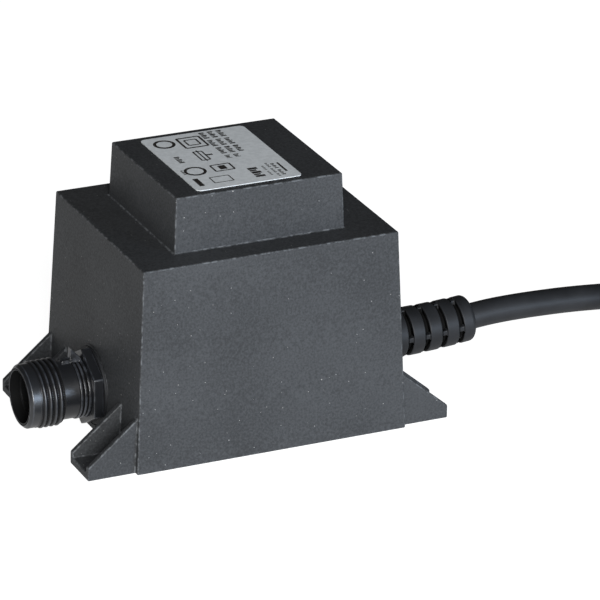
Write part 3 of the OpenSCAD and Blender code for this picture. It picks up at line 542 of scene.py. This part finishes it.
class SetStage(bpy.types.Operator):
    """Set the pale floor, the surroundings, the studio lamps and the camera"""
    bl_idname = "transformer.stage"
    bl_label = "Stage"

    # Each lamp's place, width and height, and the place that both aim at, in metres
    key_lamp = ((-0.4, -1.2, 0.46), 0.4, 0.84)
    side_lamp = ((0.62, -1.25, 0.24), 0.5, 0.5)
    aim = Vector((0, 0, 0.03))
    # Half the floor's width and how far it lies below the base, in metres, and its brightness to the eye
    floor_half = 4
    floor_drop = 0.05 * MM
    floor_bright = 0.93
    # What glossy and clear surfaces see of the surroundings beyond the ambient light
    mirrored = 0.02

    def execute(self, context):
        settings = context.scene.transformer_stage
        self.floor(settings)
        self.surroundings(context.scene, settings)
        self.lamp("Key lamp", *self.key_lamp, settings.key_power, (1, 1, 1))
        self.lamp("Side lamp", *self.side_lamp, settings.side_power, settings.side_colour)
        self.camera(context.scene, settings)
        context.scene.view_settings.view_transform = "Standard"
        return {"FINISHED"}

    def floor(self, settings):
        """A floor that gives a little light back, and is pale to the camera"""
        bm = bmesh.new()
        bmesh.ops.create_grid(bm, x_segments=1, y_segments=1, size=self.floor_half)
        bmesh.ops.translate(bm, verts=bm.verts, vec=(0, 0, -self.floor_drop))
        mesh = bpy.data.meshes.new("Floor")
        bm.to_mesh(mesh)
        bm.free()
        floor = bpy.data.objects.new("Floor", mesh)
        bpy.context.scene.collection.objects.link(floor)
        m = Look("Pale floor")
        seen = m.add("ShaderNodeLightPath", out="Is Camera Ray")
        strength = settings.bounce + seen * (self.floor_bright - settings.bounce)
        mesh.materials.append(m.surface(
            base_color=(0.5, 0.5, 0.5, 1), roughness=0.9, specular_ior_level=0.1,
            emission_color=(1, 1, 1, 1), emission_strength=strength))

    def surroundings(self, scene, settings):
        """Faint even light from all sides, white to the camera"""
        scene.world = scene.world or bpy.data.worlds.new("Surroundings")
        m = Look(scene.world)
        seen = m.add("ShaderNodeLightPath", out="Is Camera Ray")
        glossy = m.add("ShaderNodeLightPath", out="Is Glossy Ray")
        through = m.add("ShaderNodeLightPath", out="Is Transmission Ray")
        strength = settings.ambient + seen * (1 - settings.ambient) + (glossy + through) * self.mirrored
        pale = m.add("ShaderNodeBackground", values={"Color": (1, 1, 1, 1), "Strength": strength})
        m.add("ShaderNodeOutputWorld", values={"Surface": pale})

    def lamp(self, name, place, width, height, power, colour):
        """A soft box that aims at the transformer"""
        light = bpy.data.lights.new(name, "AREA")
        light.shape = "RECTANGLE"
        light.size = width
        light.size_y = height
        light.energy = power
        light.color = colour
        lamp = bpy.data.objects.new(name, light)
        bpy.context.scene.collection.objects.link(lamp)
        lamp.location = place
        lamp.rotation_euler = (self.aim - lamp.location).to_track_quat("-Z", "Y").to_euler()

    def camera(self, scene, settings):
        """The camera at the photograph's viewing angle"""
        view = bpy.data.cameras.new("Camera")
        view.lens = settings.lens
        view.sensor_width = 36
        view.clip_start = 0.01
        camera = bpy.data.objects.new("Camera", view)
        scene.collection.objects.link(camera)
        camera.location = settings.camera_place
        camera.rotation_euler = Euler(settings.camera_turn)
        scene.camera = camera


# Mains lead

def boot_end():
    """The end of the lead's boot and its direction there"""
    slope = math.atan(2 * BEND_RISE / (BOOT_LENGTH - BEND_FROM))
    end = Vector((BOOT_WALL + BOOT_LENGTH, 0, BOOT_HEIGHT + BEND_RISE)) * MM
    return end, Vector((math.cos(slope), 0, math.sin(slope)))


class LayLead(bpy.types.Operator):
    """Lay the mains lead from its boot into its coil and on to the plug, and tie the coil"""
    bl_idname = "transformer.lead"
    bl_label = "Mains lead"

    # Points before the coil: x from the end of the boot, y, and height above the base, in millimetres
    free = [
        (6.5, 0, 13.6), (13, 0, 13.75), (22, 0, 13.6), (31, 0, 13.2), (40.2, 0.3, 12.35), (45.9, 1.7, 11.2),
        (51.4, 4, 9.95), (56.4, 7.2, 8.7),
    ]
    # Where the lead joins its coil: x from the end of the boot, and y
    coil_from = (61.5, 12.1)
    # Points after the coil: x and y from its end, and height above the base
    tail = [(1.4, 10.2, 16.4), (5.3, 18, 18.1), (11.5, 24.2, 19.6), (19.3, 28.1, 20.8), (28, 29.5, 21.6)]
    # Rear end of the plug: x and y from the end of the coil, and height above the base
    plug = (36, 29.5, 21.8)
    # Straight stretch at each joint
    joint = 1.5 * MM
    # The tie's colour, the radius of its edges, and the steps in each of its rounded corners
    tie_colour = (0.03, 0.03, 0.032)
    tie_edge = 0.2 * MM
    corner_steps = 6
    # Size of its lock and of the tongue beyond it: along X and Y in half widths of the strap, and along Z
    # in its thicknesses
    lock = (2.6, 2.2, 4.2)
    tongue = (2, 3, 1)
    # How far the tongue's middle lies beyond the lock's, in half widths of the strap
    tongue_out = 1.6

    def execute(self, context):
        sizes = context.scene.transformer_lead
        points, start, middle = self.route(sizes)
        curve = bpy.data.curves.new("mains_lead", "CURVE")
        curve.dimensions = "3D"
        curve.bevel_depth = sizes.diameter / 2
        curve.bevel_resolution = 7
        curve.resolution_u = 4
        spline = curve.splines.new("BEZIER")
        spline.bezier_points.add(len(points) - 1)
        for knot, point in zip(spline.bezier_points, points):
            knot.co = point
            knot.handle_left_type = knot.handle_right_type = "AUTO"
        lead = bpy.data.objects.new("mains_lead", curve)
        context.scene.collection.objects.link(lead)
        curve.materials.append(soft_rubber("Lead sheath", slot_colour("sheath"), rough=0.45))
        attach(lead, "root")
        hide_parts("mains_cord", "cord_coil", "cord_tail")
        tie = self.tie(sizes, middle)
        return {"FINISHED"}

    def arm(self, sizes, angle):
        """A point of the coil from its middle. The angle is 0 at +X after the run-in, and grows toward -Y."""
        half = 180 * sizes.coil_turns
        radius = sizes.coil_radius - sizes.coil_step * (half - abs(angle - half)) / 360
        climb = min(1, max(0, (angle - half + 90) / 180))
        lift = sizes.coil_step * (1 - math.cos(math.pi * climb)) / 2
        lift += sizes.run_fall * (max(0, -angle) / sizes.run_turn) ** 3
        lift += sizes.climb_height * max(0, 1 - (2 * half - angle) / sizes.climb_turn) ** 2
        a = math.radians(angle)
        return Vector((radius * math.cos(a), -radius * math.sin(a), sizes.diameter / 2 + lift))

    def route(self, sizes):
        """The lead's points, its exit and the middle of its coil"""
        start, way = boot_end()
        foot = Vector((start.x, 0, 0))
        first, last = -sizes.run_turn, 360 * sizes.coil_turns
        middle = foot + Vector((*self.coil_from, 0)) * MM - self.arm(sizes, first) * Vector((1, 1, 0))
        steps = round(sizes.turn_points * (last - first) / 360)
        coil = [middle + self.arm(sizes, first + i * (last - first) / steps) for i in range(steps + 1)]
        way_in = (self.arm(sizes, first + 1) - self.arm(sizes, first)).normalized()
        way_out = (self.arm(sizes, last) - self.arm(sizes, last - 1)).normalized()
        end = coil[-1] + self.joint * way_out
        points = [start, start + self.joint * way]
        points += [foot + Vector(p) * MM for p in self.free]
        points += [coil[0] - 2 * self.joint * way_in, coil[0] - self.joint * way_in, *coil]
        points += [end, end + self.joint * way_out]
        base = Vector((end.x, end.y, 0))
        points += [base + Vector(p) * MM for p in self.tail]
        plug = base + Vector(self.plug) * MM
        points += [plug - Vector((2 * self.joint, 0, 0)), plug]
        return points, start, middle

    def tie(self, sizes, middle):
        """A flat strap with its lock, drawn tight round the turns at the coil's -Y side"""
        radius, thick, half = sizes.diameter / 2, sizes.tie_thickness, sizes.tie_width / 2
        outer = -self.arm(sizes, 90).y
        inner = -self.arm(sizes, 180 * sizes.coil_turns - 180).y
        low, high = radius + thick, radius + sizes.coil_step
        corners = [(inner, low, 180), (outer, low, 270), (outer, high, 0), (inner, high, 90)]
        bm = bmesh.new()
        loop = []
        for out, height, turned in corners:
            for i in range(self.corner_steps + 1):
                a = math.radians(turned + 90 * i / self.corner_steps)
                spoke = Vector((-half, -out - radius * math.cos(a), height + radius * math.sin(a)))
                loop.append(bm.verts.new(middle + spoke))
        edges = [bm.edges.new(pair) for pair in zip(loop, loop[1:] + loop[:1])]
        far = bmesh.ops.extrude_edge_only(bm, edges=edges)["geom"]
        far = [item for item in far if isinstance(item, bmesh.types.BMVert)]
        bmesh.ops.translate(bm, verts=far, vec=(2 * half, 0, 0))
        bmesh.ops.recalc_face_normals(bm, faces=bm.faces)
        bmesh.ops.solidify(bm, geom=bm.faces[:], thickness=-thick)
        top = middle + Vector((0, -(inner + outer) / 2, high + radius + 2 * thick))
        way_out = Vector((0, -self.tongue_out * half, thick / 2))
        for shape, place in ((self.lock, top), (self.tongue, top + way_out)):
            verts = bmesh.ops.create_cube(bm, size=1)["verts"]
            bmesh.ops.scale(bm, verts=verts, vec=Vector(shape) * Vector((half, half, thick)))
            bmesh.ops.translate(bm, verts=verts, vec=place)
        bmesh.ops.recalc_face_normals(bm, faces=bm.faces)
        rounded(bm, self.tie_edge, angle=50)
        return put(bm, "lead_tie", plain_works("Lead tie", self.tie_colour, rough=0.5))


# Moulded shell and label

class DressShell(bpy.types.Operator):
    """Round the edges of the moulded shell and give it its spark-eroded grain"""
    bl_idname = "transformer.shell"
    bl_label = "Shell"

    def execute(self, context):
        look = context.scene.transformer_shell
        bm = rounded(merged("housing"), look.edge_radius, segments=3, least=1.2 * MM)
        put(bm, "moulded_shell", spark_plastic("Spark grain", look, look.colour), ["housing"])
        coat(cast_resin("Potting resin", slot_colour("resin")), "potting_resin")
        return {"FINISHED"}


class PrintLabel(bpy.types.Operator):
    """Finish the rating label and print its rows of plain blocks, its bars, frames and rings"""
    bl_idname = "transformer.label"
    bl_label = "Rating label"

    # All places and sizes are in millimetres, to the reader's right and up from the label's middle.
    # Rows of small blocks: left, right, height of the row and of its blocks
    rows = [
        (-18.0, -1.2, 7.0, 1.5), (-18.0, 1.0, 4.6, 1.5), (-18.0, 1.0, 2.2, 1.5),
        (8.6, 17.2, 10.4, 1.0), (7.8, 17.2, 9.0, 0.7), (9.4, 16.0, 7.4, 0.6),
        (-4.6, 1.0, -10.4, 1.5), (4.6, 7.6, -12.9, 0.7), (9.4, 16.4, 4.4, 2.6),
    ]
    # Widths of the blocks in a row 1.5 mm high, what is added to each, and the gap after it
    widths = (0.62, 0.48, 0.7, 0.4, 0.58)
    width_added, gap = 0.12, 0.26
    # Share of the row's height that every second block has
    low_block = 0.72
    # Solid bars: left, right, low, high
    bars = [
        (11.0, 16.2, -12.6, -11.2), (8.6, 14.8, 11.6, 12.2), (-6.9, 0.9, -4.1, -3.7),
        (-3.4, -2.6, -2.8, -0.9), (5.0, 7.6, -3.2, -1.2),
    ]
    # Plain frames: place, half the width, half the height, line
    frames = [
        (-12.6, -2.4, 3.5, 3.08, 0.62), (-12.6, -2.4, 1.85, 1.628, 0.5), (-3.0, -3.9, 3.1, 1.15, 0.45),
        (6.3, -2.2, 2.1, 2.6, 0.5), (13.6, -5.6, 1.9, 2.6, 0.35),
    ]
    # Rings: place, radius, line
    rings = [(6.3, -9.7, 2.55, 0.8), (-13.8, -9.7, 2.5, 0.85)]
    # Height of the ink above the film
    ink_height = 0.01 * MM

    def execute(self, context):
        look = context.scene.transformer_label
        coat(label_film("Label film", look.film), "rating_label")
        low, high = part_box("rating_label")
        self.middle = (low + high) / 2
        self.top = high.z + self.ink_height
        bm = bmesh.new()
        for row in self.rows:
            self.words(bm, *row)
        for bar in self.bars:
            self.block(bm, *bar)
        for frame_sizes in self.frames:
            self.frame(bm, *frame_sizes)
        for ring_sizes in self.rings:
            self.ring(bm, *ring_sizes)
        put(bm, "label_print", label_ink("Label ink", look.ink))
        return {"FINISHED"}

    def at(self, right, up):
        """A place on the label: to the reader's right and up, in millimetres from its middle"""
        return Vector((self.middle.x + up * MM, self.middle.y - right * MM, self.top))

    def block(self, bm, left, right, low, high):
        """A solid rectangle"""
        corners = [self.at(left, low), self.at(right, low), self.at(right, high), self.at(left, high)]
        bm.faces.new([bm.verts.new(c) for c in corners])

    def words(self, bm, left, right, height, size):
        """A row of small blocks, whose widths follow a fixed rhythm, with every sixth left out"""
        place, count = left, 0
        low = height - size / 2
        while place < right:
            width = self.widths[count % 5] * size / 1.5 + self.width_added
            tall = size * self.low_block if count % 2 else size
            if count % 6 != 5:
                self.block(bm, place, min(right, place + width), low, low + tall)
            place += width + self.gap
            count += 1

    def frame(self, bm, right, up, half_w, half_h, line):
        """A plain rectangle drawn with a line"""
        for side in (-1, 1):
            level, edge = up + side * half_h, right + side * half_w
            self.block(bm, right - half_w, right + half_w, level - line / 2, level + line / 2)
            self.block(bm, edge - line / 2, edge + line / 2, up - half_h, up + half_h)

    def ring(self, bm, right, up, radius, line):
        """A plain ring drawn with a line"""
        made = bmesh.ops.create_circle(bm, segments=48, radius=(radius + line / 2) * MM, cap_ends=True)
        face = made["verts"][0].link_faces[0]
        inner = bmesh.ops.inset_region(bm, faces=[face], thickness=line * MM, use_boundary=True)
        verts = {v for f in [face, *inner["faces"]] for v in f.verts}
        bmesh.ops.translate(bm, verts=list(verts), vec=self.at(right, up))
        bmesh.ops.delete(bm, geom=[face], context="FACES_ONLY")


# Output socket

class BuildSocket(bpy.types.Operator):
    """Round the socket's mouldings, wind its thread, and finish its nut, seal, insert and pins"""
    bl_idname = "transformer.socket"
    bl_label = "Output socket"

    # Radius of the edges of the socket's shell, its nut and its insert
    shell_edge = 0.14 * MM
    nut_edge = 0.3 * MM
    insert_edge = 0.15 * MM
    # How far from the mouth's and the neck's radius a face still belongs to them, and how far beyond the
    # neck it belongs to a ring
    mouth_slack = 0.02 * MM
    neck_slack = 0.05 * MM
    ring_rise = 0.25 * MM
    # How dark the painted shade inside the mouth is, where 1 is the painted shade in the gaps between the
    # rings
    mouth_shade = 0.9
    # Points along each turn of the thread, steps round it, and how deep its sleeve starts below its root
    turn_points = 16
    round_steps = 90
    sunk = 0.2 * MM
    # Sharpness of the thread's ridges, and the share of a turn's pitch in which the last one runs out
    ridge_power = 2.6
    run_out = 0.5

    def execute(self, context):
        sizes = context.scene.transformer_socket
        # wear=1.0: full painted highlight on the socket's rounded edges, ring tops and thread crests
        black = gloss_plastic("Socket moulding", slot_colour("socket"), rough=0.24, wear=1.0, gloss=1.0)
        shape = self.painted_shade(rounded(merged("socket_shell"), self.shell_edge, segments=3), sizes)
        put(shape, "socket_moulding", black, ["socket_shell"])
        put(self.thread(sizes), "socket_thread", black, sharp=80)
        shape = rounded(merged("lock_nut"), self.nut_edge, segments=3)
        put(shape, "hex_nut", black, ["lock_nut"])
        coat(soft_rubber("Wall seal", slot_colour("soft")), "wall_seal")
        # The default wear gives the insert's rounded edges a half-strength painted highlight
        dull = gloss_plastic("Contact insert", slot_colour("insert"), rough=0.55, gloss=0.2)
        shape = rounded(merged("contact_insert"), self.insert_edge)
        put(shape, "pin_insert", dull, ["contact_insert"])
        coat(metal("Contact brass", slot_colour("contact"), rough=0.22), "contact_pin_a", "contact_pin_b")
        return {"FINISHED"}

    def painted_shade(self, bm, sizes):
        """Marks painted shade inside the mouth and in the gaps between the thin rings of the socket's neck,
        and a painted highlight on the rings' tops
        """
        shade_mask = bm.faces.layers.float.new("shade_mask")
        edge = edge_layer(bm)
        for face in bm.faces:
            middle = face.calc_center_median()
            along = -middle.x - sizes.wall_place
            radius = math.hypot(middle.y, middle.z - sizes.axis_height)
            ringed = sizes.rings_from < along < sizes.rings_to
            # Painted shade inside the mouth and between the rings, painted highlight on the ring tops
            if radius < sizes.mouth + self.mouth_slack:
                face[shade_mask] = self.mouth_shade
            elif ringed and radius < sizes.neck + self.neck_slack:
                face[shade_mask] = 1.0
            elif ringed and radius > sizes.neck + self.ring_rise:
                face[edge] = 1.0
        return bm

    def thread(self, sizes):
        """The threaded sleeve: round ridges from the step to the run-out, spun from a ring of points"""
        origin = Vector((-sizes.wall_place, 0, sizes.axis_height))
        out = Vector((-1, 0, 0))
        low, tall = sizes.thread_root - self.sunk, sizes.thread_crest - sizes.thread_root
        length = sizes.thread_pitch * sizes.thread_turns
        count = int(self.turn_points * sizes.thread_turns)
        places = [sizes.thread_from + length * i / count for i in range(count + 1)]
        outline = [(sizes.thread_root, d) for d in places]
        outline += [(low, places[-1]), (low, places[0])]
        bm = bmesh.new()
        layers = bm.verts.layers.float
        shade_mask, edge = layers.new("shade_mask"), layers.new("edge")
        verts = [bm.verts.new(origin + out * d + UP * r) for r, d in outline]
        edges = [bm.edges.new((verts[i], verts[(i + 1) % len(verts)])) for i in range(len(verts))]
        bmesh.ops.spin(
            bm, geom=verts + edges, cent=origin, axis=out, angle=math.tau, steps=self.round_steps,
            use_merge=True)
        for v in bm.verts:
            along = (v.co - origin).dot(out)
            spoke = v.co - origin - out * along
            if spoke.length > low + self.sunk / 2:
                turn = math.atan2(spoke.y, spoke.z) / math.tau
                wave = abs(math.cos(math.pi * ((along - sizes.thread_from) / sizes.thread_pitch - turn)))
                end = min(1, (sizes.thread_from + length - along) / (self.run_out * sizes.thread_pitch))
                ridge = wave ** self.ridge_power * end
                v.co = origin + out * along + spoke.normalized() * (sizes.thread_root + tall * ridge)
                # Painted shade lies in the grooves and thins out up the ridges, and the crests get a painted
                # highlight
                v[shade_mask] = (1 - min(1, 1.3 * ridge)) * end
                v[edge] = ridge ** 3
        bmesh.ops.recalc_face_normals(bm, faces=bm.faces)
        return bm


# Strain relief, plug and inner works

class DressBoot(bpy.types.Operator):
    """Round the rings and bridges of the slotted boot, and finish the clamp and sheath in it"""
    bl_idname = "transformer.boot"
    bl_label = "Strain relief"

    edge_radius = 0.3 * MM
    # The slotted stretch, back from the boot's end, and how far its axis lies below that end on average
    slots_from = 31 * MM
    slots_to = 3.5 * MM
    axis_drop = 0.7 * MM
    # Radius that the floors of the slots stay within, and how dark the painted shade in the slots is, up to 1
    slot_floor = 5.5 * MM
    slot_shade = 0.95

    def execute(self, context):
        rubber = soft_rubber("Boot rubber", slot_colour("soft"), rough=0.46)
        shape = self.painted_shade(rounded(merged("strain_relief"), self.edge_radius, segments=3))
        put(shape, "slotted_boot", rubber, ["strain_relief"])
        coat(soft_rubber("Inner sheath", slot_colour("sheath")), "cord_sheath")
        coat(metal("Clamp steel", slot_colour("steel"), rough=0.35), "cord_clamp")
        return {"FINISHED"}

    def painted_shade(self, bm):
        """Marks painted shade on the floors and the side walls of the slots between the boot's rings"""
        shade_mask = bm.faces.layers.float.new("shade_mask")
        edge = edge_layer(bm)
        end = boot_end()[0]
        bm.normal_update()
        for face in bm.faces:
            middle = face.calc_center_median()
            radius = math.hypot(middle.y, middle.z - end.z + self.axis_drop)
            slotted = self.slots_to < end.x - middle.x < self.slots_from
            wall = abs(face.normal.x) > 0.8 and not face[edge]
            if slotted and (wall or radius < self.slot_floor):
                face[shade_mask] = self.slot_shade
        return bm


class DressPlug(bpy.types.Operator):
    """Round the flat mains plug, and finish its pins with their insulating sleeves"""
    bl_idname = "transformer.plug"
    bl_label = "Mains plug"

    def execute(self, context):
        sizes = context.scene.transformer_plug
        # wear=0.2: a faint painted highlight on the plug's rounded edges
        body = gloss_plastic("Plug moulding", slot_colour("plug"), rough=0.45, wear=0.2)
        shape = rounded(merged("plug_body"), sizes.edge_radius, segments=4, least=1.5 * MM)
        put(shape, "flat_plug", body, ["plug_body"])
        bare_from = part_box("plug_pin_a")[0].x + sizes.sleeve
        pin = sleeved_pin("Sleeved pin", slot_colour("plug"), slot_colour("plug_pin"), bare_from)
        coat(pin, "plug_pin_a", "plug_pin_b")
        return {"FINISHED"}


class FinishWorks(bpy.types.Operator):
    """Finish the core, the windings, the former and the wiring that the resin covers"""
    bl_idname = "transformer.works"
    bl_label = "Inner works"

    def execute(self, context):
        sheets = layered("Laminations", slot_colour("lamination"), pitch=0.5 * MM, rough=0.35)
        coat(sheets, "core_e", "core_i")
        wire = layered("Copper wire", slot_colour("copper"), pitch=0.4 * MM, rough=0.25)
        coat(wire, "primary_winding", "secondary_winding")
        coat(plain_works("Nylon former", slot_colour("former")), "coil_former")
        tape = plain_works("Polyester tape", slot_colour("tape"), rough=0.25)
        coat(tape, "primary_tape", "secondary_tape")
        coat(metal("Cut-out steel", slot_colour("steel")), "thermal_cutout")
        coat(metal("Tag brass", slot_colour("contact")), "tag_live", "tag_neutral", "tag_out_a", "tag_out_b")
        for node, slot in (
            ("lead_live", "insulation_brown"), ("lead_neutral", "insulation_blue"),
            ("lead_out_a", "insulation_red"), ("lead_out_b", "insulation_black"),
        ):
            coat(plain_works("Wire " + slot.split("_")[1], slot_colour(slot), rough=0.4), node)
        return {"FINISHED"}


# Panel and registration

class TransformerPanel(bpy.types.Panel):
    """Lists the pieces of the transformer"""
    bl_idname = "VIEW3D_PT_transformer"
    bl_label = "Transformer"
    bl_space_type = "VIEW_3D"
    bl_region_type = "UI"
    bl_category = "Transformer"

    def draw(self, context):
        for operator in OPERATORS:
            self.layout.operator(operator.bl_idname)
        for name, group in GROUPS.items():
            settings = getattr(context.scene, name)
            box = self.layout.box()
            for prop in group.__annotations__:
                box.prop(settings, prop)


GROUPS = {
    "transformer_stage": StageSettings,
    "transformer_lead": LeadSizes,
    "transformer_shell": ShellLook,
    "transformer_colours": OuterColours,
    "transformer_label": LabelLook,
    "transformer_socket": SocketSizes,
    "transformer_plug": PlugSizes,
}
OPERATORS = (SetStage, LayLead, DressShell, PrintLabel, BuildSocket, DressBoot, DressPlug, FinishWorks)


def register():
    for item in (*GROUPS.values(), *OPERATORS, TransformerPanel):
        bpy.utils.register_class(item)
    for name, group in GROUPS.items():
        setattr(bpy.types.Scene, name, PointerProperty(type=group))


def unregister():
    for name in GROUPS:
        delattr(bpy.types.Scene, name)
    for item in reversed((*GROUPS.values(), *OPERATORS, TransformerPanel)):
        bpy.utils.unregister_class(item)


def main():
    register()
    bpy.ops.transformer.stage()
    bpy.ops.transformer.lead()
    bpy.ops.transformer.shell()
    bpy.ops.transformer.label()
    bpy.ops.transformer.socket()
    bpy.ops.transformer.boot()
    bpy.ops.transformer.plug()
    bpy.ops.transformer.works()


if __name__ == "__main__":
    main()
